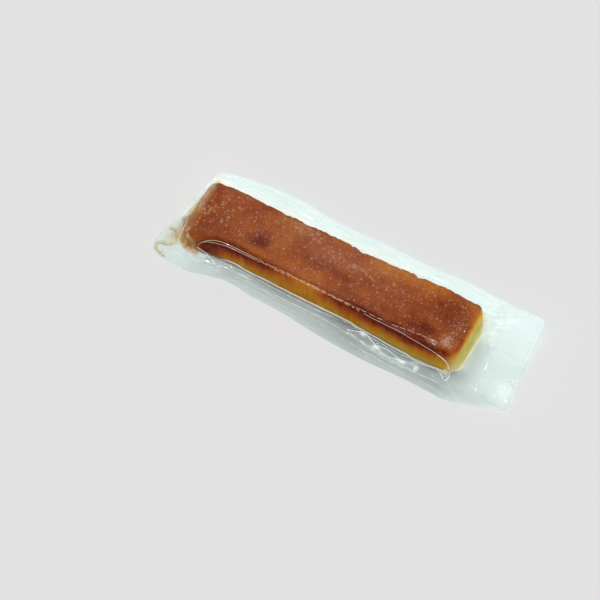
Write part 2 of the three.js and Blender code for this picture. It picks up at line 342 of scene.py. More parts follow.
# The soft surface is lumpy, and the top's edge is scalloped and crumbles along the back.
on_edge = ramp(lean, 0.1, 0.6) * above_heel
scallop = np.maximum(lumps(flat_points, 8, seed=21), -0.2)
crumbling = np.maximum(lumps(flat_points, 3.4, seed=24), -0.2) * back_share * ramp(x, -60, -40)
relief = (
    -FILM_GAP
    + 0.10 * lumps(bar, 9, seed=22)
    + 0.05 * lumps(bar, 2.6, seed=23)
    - on_edge * scallop * (0.32 + 0.16 * back_share - 0.3 * back_share * ramp(x, -45, -70))
    - on_edge * crumbling * 0.35
)
relief = np.where(lean > 2.5, -FILM_GAP, np.minimum(relief, -LEAST_GAP))
bar = bar + outward_at(bar_walk, lean) * relief[..., None]

nougat_bar = closed_mesh("nougat_bar", [bar], {
    "skin": [skin], "toast": [toast], "bake": [bake], "pale": [pale],
    "bloom": [bloom], "wisps": [wisps], "frost": [frost],
})


def linear(code):
    """Linear colour, with alpha one, of an sRGB hex code."""
    channels = np.array([int(code[i:i + 2], 16) for i in (1, 3, 5)]) / 255
    low = channels / 12.92
    high = ((channels + 0.055) / 1.055) ** 2.4
    return (*np.where(channels <= 0.04045, low, high), 1)


def add_node(tree, kind, inputs=None, output=0, stops=(), **settings):
    """Adds a shader node with its settings, gives each named or numbered input a value or a link, and
    returns one output. Stops are a colour ramp's, each a place from 0 to 1 and an sRGB hex code."""
    node = tree.nodes.new("ShaderNode" + kind)
    for name, value in settings.items():
        setattr(node, name, value)
    for name, value in (inputs or {}).items():
        if isinstance(value, bpy.types.NodeSocket):
            tree.links.new(value, node.inputs[name])
        else:
            node.inputs[name].default_value = value
    if stops:
        elements = node.color_ramp.elements
        for _ in stops[len(elements):]:
            elements.new(1)
        for element, (place, code) in zip(elements, stops):
            element.position = place
            element.color = linear(code)
    return node.outputs[output] if node.outputs else None


def new_material(name):
    """Empty node material and its tree."""
    material = bpy.data.materials.new(name)
    material.use_nodes = True
    material.node_tree.nodes.clear()
    return material, material.node_tree


# Toasted nougat: a glassy caramel skin, mottled from amber to nearly black, over a moist paste of
# ground almonds, which lets some light in and so shows soft edges between its colours.
MOTTLE_SIZE = 1.6
FLECK_SIZE = 2.2
FLECK_RAGGEDNESS = 1.1
FLECK_RAG = 0.7
FLECK_CROWD = 6
WISP_SIZE = 1.7
FROST_SIZE = 0.9
FROST_DRAW = 0.6
CRUMB_SIZE = 0.9
COLOUR_SWING = 0.06
SPECK_STRENGTH, FROST_STRENGTH = 0.4, 0.55
MIX_COLOURS = {"data_type": "RGBA", "output": 2}
SOFT_STEP = {"interpolation_type": "SMOOTHSTEP"}
MULTIPLY_ADD = {"operation": "MULTIPLY_ADD"}

toasted_nougat, tree = new_material("toasted_nougat")
place = add_node(tree, "TexCoord", output="Object")
fields = {
    name: add_node(tree, "Attribute", output="Fac", attribute_name=name)
    for name in ("skin", "toast", "bake", "pale", "bloom", "wisps", "frost")
}
mottle = add_node(tree, "TexNoise", {
    "Vector": place, "Scale": 1 / (MOTTLE_SIZE * MM), "Detail": 4, "Roughness": 0.6,
})
mottle_swing = add_node(tree, "MapRange", {0: mottle, 1: 0.25, 2: 0.75, 3: -COLOUR_SWING, 4: COLOUR_SWING})
toast_level = add_node(tree, "Math", {0: mottle_swing, 1: fields["toast"]}, operation="ADD")
caramel = add_node(tree, "ValToRGB", {"Fac": toast_level}, stops=(
    (0.05, "#c07c2c"),
    (0.25, "#b26a24"),
    (0.47, "#97491a"),
    (0.70, "#6b240a"),
    (1.00, "#3a1006"),
))

crumb = add_node(tree, "TexNoise", {"Vector": place, "Scale": 1 / (CRUMB_SIZE * MM), "Detail": 3})
crumb_swing = add_node(tree, "MapRange", {0: crumb, 1: 0.25, 2: 0.75, 3: -COLOUR_SWING, 4: COLOUR_SWING})
bake_level = add_node(tree, "Math", {0: crumb_swing, 1: fields["bake"]}, operation="ADD")
baked = add_node(tree, "ValToRGB", {"Fac": bake_level}, stops=(
    (0.03, "#dfae2c"),
    (0.23, "#d69a22"),
    (0.40, "#cb841a"),
    (0.57, "#bd6612"),
    (0.70, "#a84c0e"),
    (0.87, "#822a09"),
    (1.00, "#661c08"),
))
paste = add_node(tree, "Mix", {0: fields["pale"], 6: baked, 7: linear("#dccb60")}, **MIX_COLOURS)
body_colour = add_node(tree, "Mix", {0: fields["skin"], 6: paste, 7: caramel}, **MIX_COLOURS)

# Flecks are ragged cells that show by chance, more of them where they crowd and where there is bloom.
ragged = add_node(tree, "TexNoise", {
    "Vector": place, "Scale": 1 / (FLECK_RAG * MM), "Detail": 1,
}, output="Color")
fleck_shift = (FLECK_RAGGEDNESS * MM,) * 3
fleck_place = add_node(tree, "VectorMath", {0: ragged, 1: fleck_shift, 2: place}, **MULTIPLY_ADD)
cell_distance = add_node(tree, "TexVoronoi", {"Vector": fleck_place, "Scale": 1 / (FLECK_SIZE * MM)})
fleck_chance = add_node(tree, "SeparateColor", {0: cell_distance.node.outputs["Color"]})
crowd = add_node(tree, "TexNoise", {"Vector": place, "Scale": 1 / (FLECK_CROWD * MM), "Detail": 1})
fleck_field = add_node(tree, "Math", {0: fields["bloom"], 1: 0.75, 2: crowd}, **MULTIPLY_ADD)
fleck_spread = add_node(tree, "Math", {0: fleck_field, 1: 0.4, 2: fleck_chance}, **MULTIPLY_ADD)
fleck_level = add_node(tree, "Math", {0: cell_distance, 1: -1.8, 2: fleck_spread}, **MULTIPLY_ADD)
flecks = add_node(tree, "MapRange", {0: fleck_level, 1: 0.36, 2: 0.92, 3: 0, 4: 1}, **SOFT_STEP)

# Wisps are the crests of a curling noise, and frost is a noise drawn out across the bar.
wisp_noise = add_node(tree, "TexNoise", {
    "Vector": place, "Scale": 1 / (WISP_SIZE * MM), "Roughness": 0.6, "Distortion": 1.2,
})
wisp_field = add_node(tree, "Math", {0: fields["wisps"], 1: 0.14, 2: wisp_noise}, **MULTIPLY_ADD)
wisp_level = add_node(tree, "Math", {0: crowd, 1: 0.25, 2: wisp_field}, **MULTIPLY_ADD)
wisp_marks = add_node(tree, "MapRange", {0: wisp_level, 1: 0.76, 2: 0.92, 3: 0, 4: 1}, **SOFT_STEP)
speck = add_node(tree, "Math", {0: flecks, 1: wisp_marks}, operation="MAXIMUM")
speck_strength = add_node(tree, "Math", {0: speck, 1: SPECK_STRENGTH}, operation="MULTIPLY")
flecked_colour = add_node(tree, "Mix", {
    0: speck_strength, 6: body_colour, 7: linear("#d0a484"),
}, **MIX_COLOURS)
frost_place = add_node(tree, "Mapping", {"Vector": place, "Scale": (1, FROST_DRAW, 1)})
frost_streaks = add_node(tree, "TexNoise", {"Vector": frost_place, "Scale": 1 / (FROST_SIZE * MM)})
frost_level = add_node(tree, "Math", {0: fields["frost"], 1: 0.3, 2: frost_streaks}, **MULTIPLY_ADD)
frost_strength = add_node(tree, "MapRange", {
    0: frost_level, 1: 0.58, 2: 0.90, 3: 0, 4: FROST_STRENGTH,
}, **SOFT_STEP)
surface_colour = add_node(tree, "Mix", {
    0: frost_strength, 6: flecked_colour, 7: linear("#ccb2a4"),
}, **MIX_COLOURS)

grain = add_node(tree, "Math", {0: crumb, 1: speck}, operation="ADD")
bump = add_node(tree, "Bump", {"Height": grain, "Strength": 0.5, "Distance": 0.15 * MM})
shader = add_node(tree, "BsdfPrincipled", {
    "Base Color": surface_colour,
    "Roughness": 0.4,
    "IOR": 1.45,
    "Specular IOR Level": 0.04,
    "Subsurface Weight": 0.15,
    "Subsurface Radius": (1, 0.45, 0.15),
    "Subsurface Scale": 2 * MM,
    "Normal": bump,
})
add_node(tree, "OutputMaterial", {"Surface": shader})
nougat_bar.data.materials.append(toasted_nougat)
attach(nougat_bar, "root")
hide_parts("sealed_bag")


# Film bag
# Two layers of clear film, drawn tight over the bar as the air was pumped out and welded round the
# edge. Round the bar they lie together as a skirt, pleated along the sides and flat at the ends.
FRONT_SKIRT = 17.5
BACK_SKIRT = 18
NARROW_FLAP = 10
WIDE_FLAP = 34.5
BAG_CORNER_X, BAG_CORNER_Y = 24, 16
BAG_CORNER_SQUARENESS = 0.2
WIDE_FLAP_SLANT = 0.087
NARROW_FLAP_SLANT = 0.115
WIDE_TRIM, WIDE_TRIM_LENGTH = 9.5, 36
NARROW_TRIM, NARROW_TRIM_LENGTH = 8, 13
FRONT_EDGE_SWELLS = ((-20, 25, -4.5), (-56, 18, -5.5))
BACK_EDGE_SWELLS = ((-58, 30, 3.5), (-104, 14, -3))
FILM = 0.4
FOOT_HEIGHT = 1.2
FOOT_FLARE = 1.6
FOOT_FLARE_POWER = 3
FRONT_FILLET = 3
FRONT_FILLET_FADE = (25, 75)
TENT_HEIGHT = 8
SIDE_FILLET_REACH = 0.3
NARROW_FILLET_REACH = 0.7
SKIRT_RISE_POWER = 0.7
FRONT_EDGE_LIFT = 0.8
BACK_EDGE_LIFT = 5
PLEAT_HEIGHT = 0.9
PLEAT_PITCH = 0.28
WAVE_HEIGHT = 0.7
WAVE_LENGTH = 58
FLAP_ARCH = 2.6
CRUMPLE_HEIGHT = 0.4
CRUMPLE_PITCH = 11
TUCK_HEIGHT = 2.5
TUCK_HALF_ANGLE = 0.5
FINE_PLEATS, FINE_PLEAT_HEIGHT = 6, 0.25
RIPPLE_HEIGHT = 0.02


def bag_outline(walk):
    """Squarish rectangle of the bag's edge, with slanted ends, swelling sides and trimmed front corners."""
    core_x, core_y, angle = walk
    half_length = (BAR_LENGTH + NARROW_FLAP + WIDE_FLAP) / 2
    half_width = (BAR_WIDTH + FRONT_SKIRT + BACK_SKIRT) / 2
    cosine, sine = np.round(np.cos(angle), 9), np.round(np.sin(angle), 9)
    x = core_x * (half_length - BAG_CORNER_X)
    x = x + BAG_CORNER_X * np.sign(cosine) * np.abs(cosine) ** BAG_CORNER_SQUARENESS
    y = core_y * (half_width - BAG_CORNER_Y)
    y = y + BAG_CORNER_Y * np.sign(sine) * np.abs(sine) ** BAG_CORNER_SQUARENESS
    along = x + (WIDE_FLAP - NARROW_FLAP) / 2
    across = y + (BACK_SKIRT - FRONT_SKIRT) / 2
    slant = np.where(x > 0, -WIDE_FLAP_SLANT, NARROW_FLAP_SLANT)
    end_share = ramp(np.abs(x), half_length - BAG_CORNER_X, half_length)
    trim_length = np.where(x > 0, WIDE_TRIM_LENGTH, NARROW_TRIM_LENGTH)
    trim = np.where(x > 0, WIDE_TRIM, NARROW_TRIM)
    trim = trim * ramp(np.abs(x), half_length - trim_length, half_length)
    back = swell_along(along, BACK_EDGE_SWELLS) * ramp(y, 0, half_width)
    front = (swell_along(along, FRONT_EDGE_SWELLS) - trim) * ramp(-y, 0, half_width)
    return along + slant * y * end_share, across + back - front


def foot_height(walk):
    """Height at which the lower film leaves the bar, tucked up in a pointed fold at each firm corner."""
    turn = (walk[2] / (np.pi / 2)) % 1
    tuck = TUCK_HEIGHT * np.clip(1 - np.abs(turn - 0.5) / TUCK_HALF_ANGLE, 0, None) ** 2
    return FOOT_HEIGHT + tuck * (1 - slump_share(*bar_outline(walk, FOOT_FLARE)))


def narrow_end(walk):
    """How near a station is to the bar's narrow-flap end, from 0 on the sides to 1 on the end."""
    x, _ = bar_outline(walk, FOOT_FLARE)
    return ramp(-x, BAR_LENGTH / 2 - BAR_CORNER, BAR_LENGTH / 2)


def fillet_height(walk):
    """Height above the lower film at which the upper one leaves the wall: most along the back and the
    narrow end, where it hangs like a tent, and none at the front's wide-flap end or the slumped corner."""
    x, y = bar_outline(walk, FOOT_FLARE)
    front = FRONT_FILLET * (1 - ramp(x, *FRONT_FILLET_FADE))
    tented = np.maximum(ramp(y, 0, BAR_WIDTH / 2), narrow_end(walk))
    return (front + (TENT_HEIGHT - front) * tented) * (1 - slump_share(x, y))


def skirt_rings(walk, reach):
    """Lower film of the skirt: straight lines from the bar's foot to the bag's edge, lifted by waves
    along the sides, pleats that run beside the bar, an arch in the wide flap and crumples in the other."""
    foot_x, foot_y = bar_outline(walk, FOOT_FLARE)
    edge_x, edge_y = bag_outline(walk)
    x = foot_x + (edge_x - foot_x) * reach
    y = foot_y + (edge_y - foot_y) * reach
    edge_lift = FRONT_EDGE_LIFT
    edge_lift = edge_lift + (BACK_EDGE_LIFT - edge_lift) * ramp(y, -BAR_WIDTH / 2, BAR_WIDTH)
    wave = WAVE_HEIGHT * np.sin(2 * np.pi * x / WAVE_LENGTH) * reach
    end_share = ramp(np.abs(x), BAR_LENGTH / 2, BAR_LENGTH / 2 + NARROW_FLAP)
    pleat = PLEAT_HEIGHT / 2 * (1 - np.cos(2 * np.pi * reach / PLEAT_PITCH)) * (1 - reach)
    arch = np.where(x > 0, FLAP_ARCH * np.sin(np.pi * reach), 0)
    crumple = np.where(x < 0, CRUMPLE_HEIGHT * np.sin(2 * np.pi * y / CRUMPLE_PITCH) * reach, 0)
    foot = foot_height(walk)
    rise = foot + (edge_lift - foot) * reach ** SKIRT_RISE_POWER
    height = rise + wave + pleat * (1 - end_share) + (arch + crumple) * end_share
    return stacked(x, y, np.maximum(height, 0))


def rumples_of(rings, walk, reach):
    """Small folds of the skirt: fine pleats that run beside the bar and wander, each crest a squared
    cosine, and uneven rumples that are drawn out along the sides and round at the ends."""
    flat = rings * (1, 1, 0)
    side = ramp(np.abs(np.sin(walk[2])), 0.6, 1)
    wander = 0.5 * lumps(flat * (1, 0.2, 0), 70, seed=34)
    strength = 0.6 + 0.4 * lumps(flat * (1, 0.3, 0), 45, seed=35)
    crest = (0.5 + 0.5 * np.cos(2 * np.pi * (reach * FINE_PLEATS + wander))) ** 2
    drawn_out = 0.06 * lumps(flat * (0.06, 1, 0), 3.5, seed=31)
    rounded = 0.08 * lumps(flat, 16, seed=32)
    front = 0.3 + 0.7 * ramp(np.sin(walk[2]), 0.5, -0.5)
    pleated = front * (FINE_PLEAT_HEIGHT * strength * crest + drawn_out)
    return np.maximum(side * pleated + (1 - side) * rounded, -FINE_PLEAT_HEIGHT)


def ridge_field(across, along, line, width):
    """Ridge of height one beside a bent line, e to the minus squared distance to it in widths."""
    line = np.array(line, dtype=float)
    nearest = np.full(across.shape, np.inf)
    for start, end in zip(line[:-1], line[1:]):
        step = end - start
        share = ((across - start[0]) * step[0] + (along - start[1]) * step[1]) / (step @ step)
        share = np.clip(share, 0, 1)
        distance = np.hypot(across - start[0] - share * step[0], along - start[1] - share * step[1])
        nearest = np.minimum(nearest, distance)
    return np.exp(-(nearest / width) ** 2)


# Folds in the upper film of the skirt: a line seen from above, the fold's height and half width, and the
# radius and whiteness of the sharp bend along its crest. The white of these bends is partly whitened film
# and partly painted highlight.
SKIRT_FOLDS = (
    (((20, -22.5), (45, -24.3), (60, -25.3), (75, -25.2), (82, -24.2)), 0.3, 0.8, 0.18, 0.9),
    (((-62, -23.2), (-50, -22.6), (-40, -22.9), (-25, -23.6), (0, -24), (20, -23.6)), 0.3, 0.7, 0.16, 0.9),
    (((27, -26.5), (32, -25), (37, -23.8), (40, -24.5), (45, -26.5), (48, -27.6)), 0.8, 0.7, 0.32, 1),
    (((27, -26.7), (33, -28), (40, -29.3), (50, -30.5), (60, -31.3), (70, -32.3), (77, -31.8)),
     0.7, 0.7, 0.26, 1),
    (((46, -27.5), (50, -26.6), (55, -26.4), (60, -27.3), (64, -29.3)), 0.7, 0.7, 0.3, 1),
    (((47, -28.3), (53, -30), (60, -30.3), (64.5, -29.5)), 0.6, 0.7, 0.26, 1),
    (((64, -29.5), (68, -28.5), (73, -27.3), (75, -28.5), (76.5, -31.2)), 0.7, 0.7, 0.3, 1),
    (((63, -29.2), (70, -27), (80, -24.5)), 0.5, 0.7, 0.18, 0.9),
    (((-55, -27.5), (-35, -26.8), (-10, -26.3), (8, -26.4), (20, -27.3), (35, -29.3), (50, -31.6),
      (65, -33), (80, -31.6), (86, -30.8), (97, -31.5), (105, -33.2), (111, -33.6)), 0.6, 0.9, 0.17, 0.85),
    (((-57, -30.2), (-30, -30.2), (0, -30.8), (20, -31.8), (40, -33.5), (60, -35.2), (75, -36)),
     0.4, 0.9, 0.12, 0.7),
    (((93, -21.2), (93.6, -21.8), (94.9, -24.6), (94.6, -26.8), (93.7, -28.5)), 0.8, 0.7, 0.28, 1),
    (((93.7, -28.5), (90.7, -26), (88.6, -24.3), (86, -23.4)), 0.6, 0.7, 0.26, 1),
    (((93.8, -27.3), (97, -29.2), (102, -31.3)), 0.5, 0.7, 0.16, 0.8),
    (((84, -28), (95, -30), (106, -33.5)), 0.4, 0.8, 0.13, 0.7),
    (((80, -35), (92, -35.5), (101, -36.6)), 0.4, 0.8, 0.13, 0.7),
    (((108.5, 4), (109.5, -10), (111.5, -22), (113, -32)), 0.7, 0.9, 0.12, 0.6),
    (((104.5, 22.8), (112, 23.7), (120, 23.2), (127, 22)), 0.8, 0.9, 0.14, 0.7),
    (((94.6, 32.6), (98, 31), (101.5, 29.4)), 0.5, 0.8, 0.22, 1),
    (((97, 25.2), (101, 25.5), (104.9, 26.1)), 0.6, 0.8, 0.25, 1),
    (((100.8, 19.9), (104, 21), (107, 22.2)), 0.5, 0.8, 0.22, 1),
    (((104, 19.1), (110, 20), (117.4, 20.5)), 0.5, 0.8, 0.2, 1),
    (((100, 31), (102, 27), (103, 23), (103, 19)), 0.5, 0.8, 0.16, 0.9),
    (((112, -18), (117, -15), (121, -13), (126, -9.5), (128, -7.5)), 0.8, 0.9, 0.14, 0.8),
    (((121, -13.5), (121.5, -17), (123, -20.5), (128, -21.5)), 0.6, 0.9, 0.15, 0.8),
    (((128, -8), (129.5, -14), (129, -19)), 0.5, 0.9, 0.16, 0.9),
    (((-75, -23.2), (-74.1, -23.4), (-71.4, -24.1), (-68.9, -24.8), (-66.1, -25.7)), 0.8, 0.9, 0.34, 1),
    (((-80.5, -24.8), (-79.7, -26.2), (-79, -27.7)), 0.6, 0.8, 0.15, 0.9),
    (((-78, -27), (-73, -25.2), (-70, -24.2)), 0.5, 0.8, 0.12, 0.6),
    (((-99, -8), (-98, -12), (-96.5, -15.5), (-94.5, -19.5)), 0.7, 0.8, 0.16, 0.8),
    (((-103, 28), (-104, 10), (-105, -4)), 0.5, 0.9, 0.12, 0.6),
    (((-100, -36), (-92, -32.5), (-84, -30), (-70, -27.4)), 0.5, 0.8, 0.12, 0.8),
    (((-95, -38), (-86, -34.5), (-77, -31.8), (-64, -29.6)), 0.5, 0.8, 0.12, 0.8),
    (((-103, -22), (-99, -24.5), (-93, -27), (-86, -28)), 0.4, 0.8, 0.12, 0.7),
    (((-86, -27.6), (-80, -27.6), (-72, -26.9), (-62, -25.8)), 0.5, 0.7, 0.22, 1),
    (((-92, -29), (-84, -29.8), (-74, -29.3), (-62, -28)), 0.5, 0.7, 0.2, 1),
    (((-88, -33), (-78, -32.7), (-66, -31)), 0.5, 0.7, 0.17, 1),
)
# Bends of the tight film on the front edge and wall, drawn white as painted highlight lines: place along
# the bar and depth down the surface from the rim, and the radius and the warm tint of the bend. Like all
# bends of the tight film, they are white.
EDGE_FOLD_HIGHLIGHTS = (
    (((-81.9, 14), (-81.4, 10.7), (-78.7, 8.2), (-74.3, 6.3), (-68.6, 5.2), (-64, 5.1), (-54, 5.5),
      (-38, 5)), 0.15, 0.4),
    (((-80, 9.2), (-76.5, 7.6), (-71.4, 7.4), (-66.8, 6.8), (-60, 6.7), (-51, 6.6), (-40, 6)), 0.13, 0.4),
    (((34, 6.1), (40, 6.5), (54, 6.1), (64, 6.1), (73.6, 6.8), (81.3, 7.9), (87.9, 10.3), (90.3, 12.7),
      (91.7, 15.8), (92.4, 19.5)), 0.13, 0.4),
    (((-81.9, 13), (-81.2, 14), (-78.9, 15.1), (-76.6, 16.6), (-74.1, 18.1)), 0.34, 0.4),
    (((84, 9), (87.9, 10.5), (90.3, 12.9), (91.7, 16), (92.4, 19.5)), 0.26, 0.1),
    (((-65, 19.2), (-59, 19.2), (-49, 18.9), (-28.7, 18.7), (-9, 18.7), (11.4, 18.7), (21, 18.7),
      (40.7, 20.1), (59.8, 21.6), (70, 22.2), (80, 22.4), (88, 21.8), (92.4, 20.3)), 0.32, 0.03),
)
# Painted highlight lines, drawn as white-gold bends, on the film that hangs round the slumped corner, seen
# from above.
CORNER_FOLD_HIGHLIGHTS = (
    ((-94.3, -17.7), (-92.4, -16.9), (-91, -15.1)),
    ((-95.6, -17.3), (-93.5, -18), (-91.5, -18.2), (-90.5, -16.4)),
    ((-94.5, -19.1), (-92, -20), (-89.9, -20.4)),
)
CORNER_RADIUS, CORNER_TINT = 0.2, 0.45
# Broken painted highlights along the front edge, drawn as short white bends and given as the edge folds
# are: the lines they follow and how far they stray from them.
EDGE_HIGHLIGHT_DASHES = (
    (((-46, 5.2), (-38, 5), (-25, 4.7), (0, 4.6), (25, 4.8), (40, 4.7), (50, 4.2)), 0.1),
    (((-48, 6.4), (-40, 6), (-25, 5.5), (0, 5.3), (20, 5.5), (34, 6.1)), 0.12),
    (((50, 4.2), (57, 3.6), (64.6, 2.6), (72.4, 1.8), (76.5, 1.8)), 0.25),
    (((76, 1.4), (82, 3.4), (76, 2.6), (82, 1.8)), 0.5),
)
HIGHLIGHT_DASH_RADIUS, HIGHLIGHT_DASH_TINT = 0.14, 0.4

film_walk = walk_outline(end_steps=64, corner_steps=28, side_steps=288)
film_heading_x, film_heading_y = np.cos(film_walk[2]), np.sin(film_walk[2])
wide_film, narrow_film = np.clip((film_heading_x, -film_heading_x), 0, 1)
back_film, front_film = np.clip((film_heading_y, -film_heading_y), 0, 1)
TOP_ROWS, EDGE_ROWS, WALL_ROWS, SKIRT_ROWS, UNDER_ROWS, HEEL_ROWS, BASE_ROWS = 8, 30, 12, 52, 12, 2, 1

film_top = top_rings(film_walk, TOP_ROWS)
film_leans = steps(0, np.pi / 2, EDGE_ROWS)
film_edge = edge_rings(film_walk, film_leans)
shoulder = film_edge[-1, :, 2]
wall_shares = steps(0, 1, WALL_ROWS)
wall_x, wall_y = bar_outline(film_walk, FOOT_FLARE * wall_shares ** FOOT_FLARE_POWER)
wall_foot = foot_height(film_walk) + FILM + fillet_height(film_walk)
film_wall = stacked(wall_x, wall_y, shoulder + (wall_foot - shoulder) * wall_shares)

reach = steps(0, 1, SKIRT_ROWS)
film_upper = skirt_rings(film_walk, reach)
upper_x, upper_y = film_upper[..., 0], film_upper[..., 1]
fillet_reach = SIDE_FILLET_REACH + (NARROW_FILLET_REACH - SIDE_FILLET_REACH) * narrow_end(film_walk)
fillet = fillet_height(film_walk) * np.clip(1 - reach / fillet_reach, 0, None) ** 2
fold = sum(height * ridge_field(upper_x, upper_y, line, width) for line, height, width, _, _ in SKIRT_FOLDS)
film_upper[..., 2] += FILM + fillet + fold + rumples_of(film_upper, film_walk, reach)

under_reach = np.linspace(1, 0, UNDER_ROWS + 1)[:, None]
film_lower = skirt_rings(film_walk, under_reach)
film_lower[..., 2] += rumples_of(film_lower, film_walk, under_reach) * ramp(under_reach, 0, 0.15)
film_lower[..., 2] = np.maximum(film_lower[..., 2], 0)
heel_shares = steps(0, 1, HEEL_ROWS)
heel_x, heel_y = bar_outline(film_walk, FOOT_FLARE - (FOOT_FLARE + BASE_EDGE) * heel_shares)
film_heel = stacked(heel_x, heel_y, foot_height(film_walk) * (1 - heel_shares))
base_rim = bar_outline(film_walk, -BASE_EDGE)
film_base = stacked(*flat_rings(film_walk, base_rim, steps(1, 0, BASE_ROWS)), 0)

# Tight part of the film: faint lumps push it outward only, off the bar.
tight = np.concatenate([film_top, film_edge, film_wall])
tight_lean = np.concatenate([
    np.zeros((len(film_top), 1)), film_leans, np.full((len(film_wall), 1), np.pi / 2),
])
depth = TOP_EDGE * tight_lean + np.where(tight_lean < np.pi / 2, 0, shoulder - tight[..., 2])
ripple = RIPPLE_HEIGHT * (1 + lumps(tight * (0.4, 1, 1), 8, seed=33)) * ramp(tight_lean, 0, 0.5)
tight = tight + outward_at(film_walk, tight_lean) * np.maximum(ripple, 0)[..., None]

film = np.concatenate([tight, film_upper, film_lower, film_heel, film_base])
along, across = film[..., 0], film[..., 1]
roof_end, tight_end = len(film_top) + len(film_edge), len(tight)
upper_end = tight_end + len(film_upper)
lower_end = upper_end + len(film_lower)

# How milky the film looks: nearly clear where it clings to the bar, hazy where it stands free or is welded,
# and whiter in broad bands along the back, partly as painted light falling on the back skirt. Painted
# highlights whiten it too: a crinkle on the front edge painted white as glare, and patches of painted
# glare.
GLARES = (
    ((103, 25), (3, 2), 0.4), ((103.8, 15.1), (2.4, 1.8), 0.8), ((103, 37), (5, 2.5), 0.4),
    ((126.5, -17), (4, 4.5), 0.9), ((129, -30), (5, 1.2), 0.4), ((37, -24.5), (2.5, 0.9), 0.9),
    ((47.5, -28), (2.6, 1.2), 1), ((64.5, -29.3), (3, 1.2), 1.1), ((75, -29), (1.2, 2.2), 0.9),
    ((-47, -24), (6, 1), 0.4), ((-62, -23.8), (6, 1.2), 0.3), ((-77, -24.5), (4, 1.2), 0.6),
    ((91, -23), (2, 1.2), 0.6), ((106, 9), (2, 3), 0.3), ((110, 29), (2, 4), 0.3),
)
BACK_LINE, BACK_LINE_SHIFT, BACK_LINE_WIDTH = 30.5, 7, 0.9
CRINKLE_GLARE_CENTRE, CRINKLE_GLARE_SIZE = (79, 2.4), (3, 1)

roof_x, roof_y, roof_lean = along[:roof_end], across[:roof_end], tight_lean[:roof_end]
roof_haze = 0.012 - 0.010 * ramp(roof_x, 30, 65) + 0.020 * bump_at(roof_x, roof_y, (0, 6), (30, 7))
roof_haze = roof_haze * (1 - 0.9 * front_film * ramp(roof_lean, 0.2, 0.6))
# Broad bands along the back skirt, partly milky film and partly painted light from behind.
lit_back_bands = 0.70 + 0.12 * np.cos(2 * np.pi * (reach - 0.48) / 0.5)
back_line = BACK_LINE + swell_along(upper_x + BACK_LINE_SHIFT, BACK_SWELLS)
back_crest = np.exp(-((upper_y - back_line) / BACK_LINE_WIDTH) ** 2) * back_film ** 2
back_crest = back_crest * ramp(upper_x, 60, 35)
# Painted contact shadow beside the foot of the front wall.
foot_shadow = np.exp(-(reach / 0.12) ** 2) * front_film
wide_haze = (0.16 + 0.45 * ramp(upper_y, -5, 30)) * (0.2 + 0.8 * ramp(reach, 0.02, 0.45))
# Thicker haze at the wide end's foot carries the painted yellow reflection there.
wide_haze = wide_haze + 0.26 * ramp(reach, 0.09, 0)
narrow_haze = 0.15 + 0.40 * ramp(upper_y, -12, 0) + 0.30 * ramp(reach, 0.7, 0.2)
# Patches of painted glare.
glare = spots_at(upper_x, upper_y, GLARES)
# A crinkle on the front edge, painted white as glare.
crinkle_glare = bump_at(along[:tight_end], depth, CRINKLE_GLARE_CENTRE, CRINKLE_GLARE_SIZE) * front_film
crinkle_glare = crinkle_glare * ramp(lumps(tight, 1.4, seed=37), -0.6, 0.6)

haze = np.full(film.shape[:2], 0.1)
haze[:roof_end] = roof_haze + 0.8 * ramp(roof_x, -88, -95) * narrow_film ** 2
haze[roof_end:tight_end] = (
    0.54 * wall_shares ** 1.4 * wide_film
    + 0.30 * wall_shares ** 2 * back_film
    + (0.92 - 0.55 * wall_shares) * narrow_film ** 2
)
haze[:tight_end] += 0.5 * crinkle_glare
haze[tight_end:upper_end] = (
    0.10 * front_film
    + 0.05 * foot_shadow
    + lit_back_bands * back_film ** 2
    + 0.25 * back_crest
    + wide_haze * wide_film ** 2
    + narrow_haze * narrow_film ** 2
    + 0.12 * ramp(reach, 0.94, 0.98)
    + glare
)
haze[upper_end:lower_end] = 0.08 + 0.40 * back_film + 0.10 * wide_film

# Slack film is tinted and rumpled, film drawn out along the sides is streaked, and film on the top gleams.
# Along the front it is painted grey as shade, darkest in a painted contact shadow beside the foot of the
# wall; painted shade also greys the flap beside the foot of the wide end and a small pocket of syrup at the
# narrow end.
FRONT_SHADE = ((-90, 0), (-75, 0.4), (-55, 0.6), (0, 0.7), (30, 1), (92, 0.9), (108, 0.2))
SHADED_SYRUP_POCKET = (-101.5, -6)

slack = np.ones((len(film), 1))
slack[:roof_end] = 0
slack[roof_end:tight_end] = wall_shares ** 2
drawn = ramp(np.abs(film_heading_y), 0.6, 1)
gleam = 0.06 + 0.06 * front_film ** 2 * ramp(along, 96, 84)
gleam[:roof_end] = 0.24 * (1 - ramp(roof_lean, 0.02, 0.2) * front_film)
gleam[:roof_end] += 0.04 * ramp(roof_lean, 0.5, 0.7) * front_film
gleam[roof_end:tight_end] = 0.03 * front_film
front_shade = 0.6 * front_film * (1 - 0.4 * ramp(reach, 0.5, 1)) + 0.4 * foot_shadow
front_shade = front_shade * np.interp(upper_x, *np.transpose(FRONT_SHADE))
shade = np.zeros(film.shape[:2])
shade[tight_end:upper_end] = (
    front_shade * (1 - np.clip(1.3 * glare, 0, 1))
    + 0.30 * wide_film * ramp(reach, 0.5, 0.05) * ramp(upper_y, 12, 2)
    + bump_at(upper_x, upper_y, SHADED_SYRUP_POCKET, (1.6, 1.8))
)

# Syrup has smeared between the film and the bar round the narrow end: cream where it is thin, amber where
# it is thick, at the slumped corner. At the foot of the wide and back walls the film is painted yellow as a
# reflection of the bar's walls, with a painted pale yellow highlight beside the wide end's front corner and
# a yellow tint on the narrow flap near the syrup.
CORNER_SMEAR = ((-99.2, -4), (-98, -10), (-96.5, -15), (-93.5, -20), (-88.5, -23.5), (-83, -25.5))
YELLOW_HIGHLIGHT_AND_TINT_SPOTS = (((91, -23), (3, 1.5), 0.2), ((-102, -25), (4, 9), 0.16))

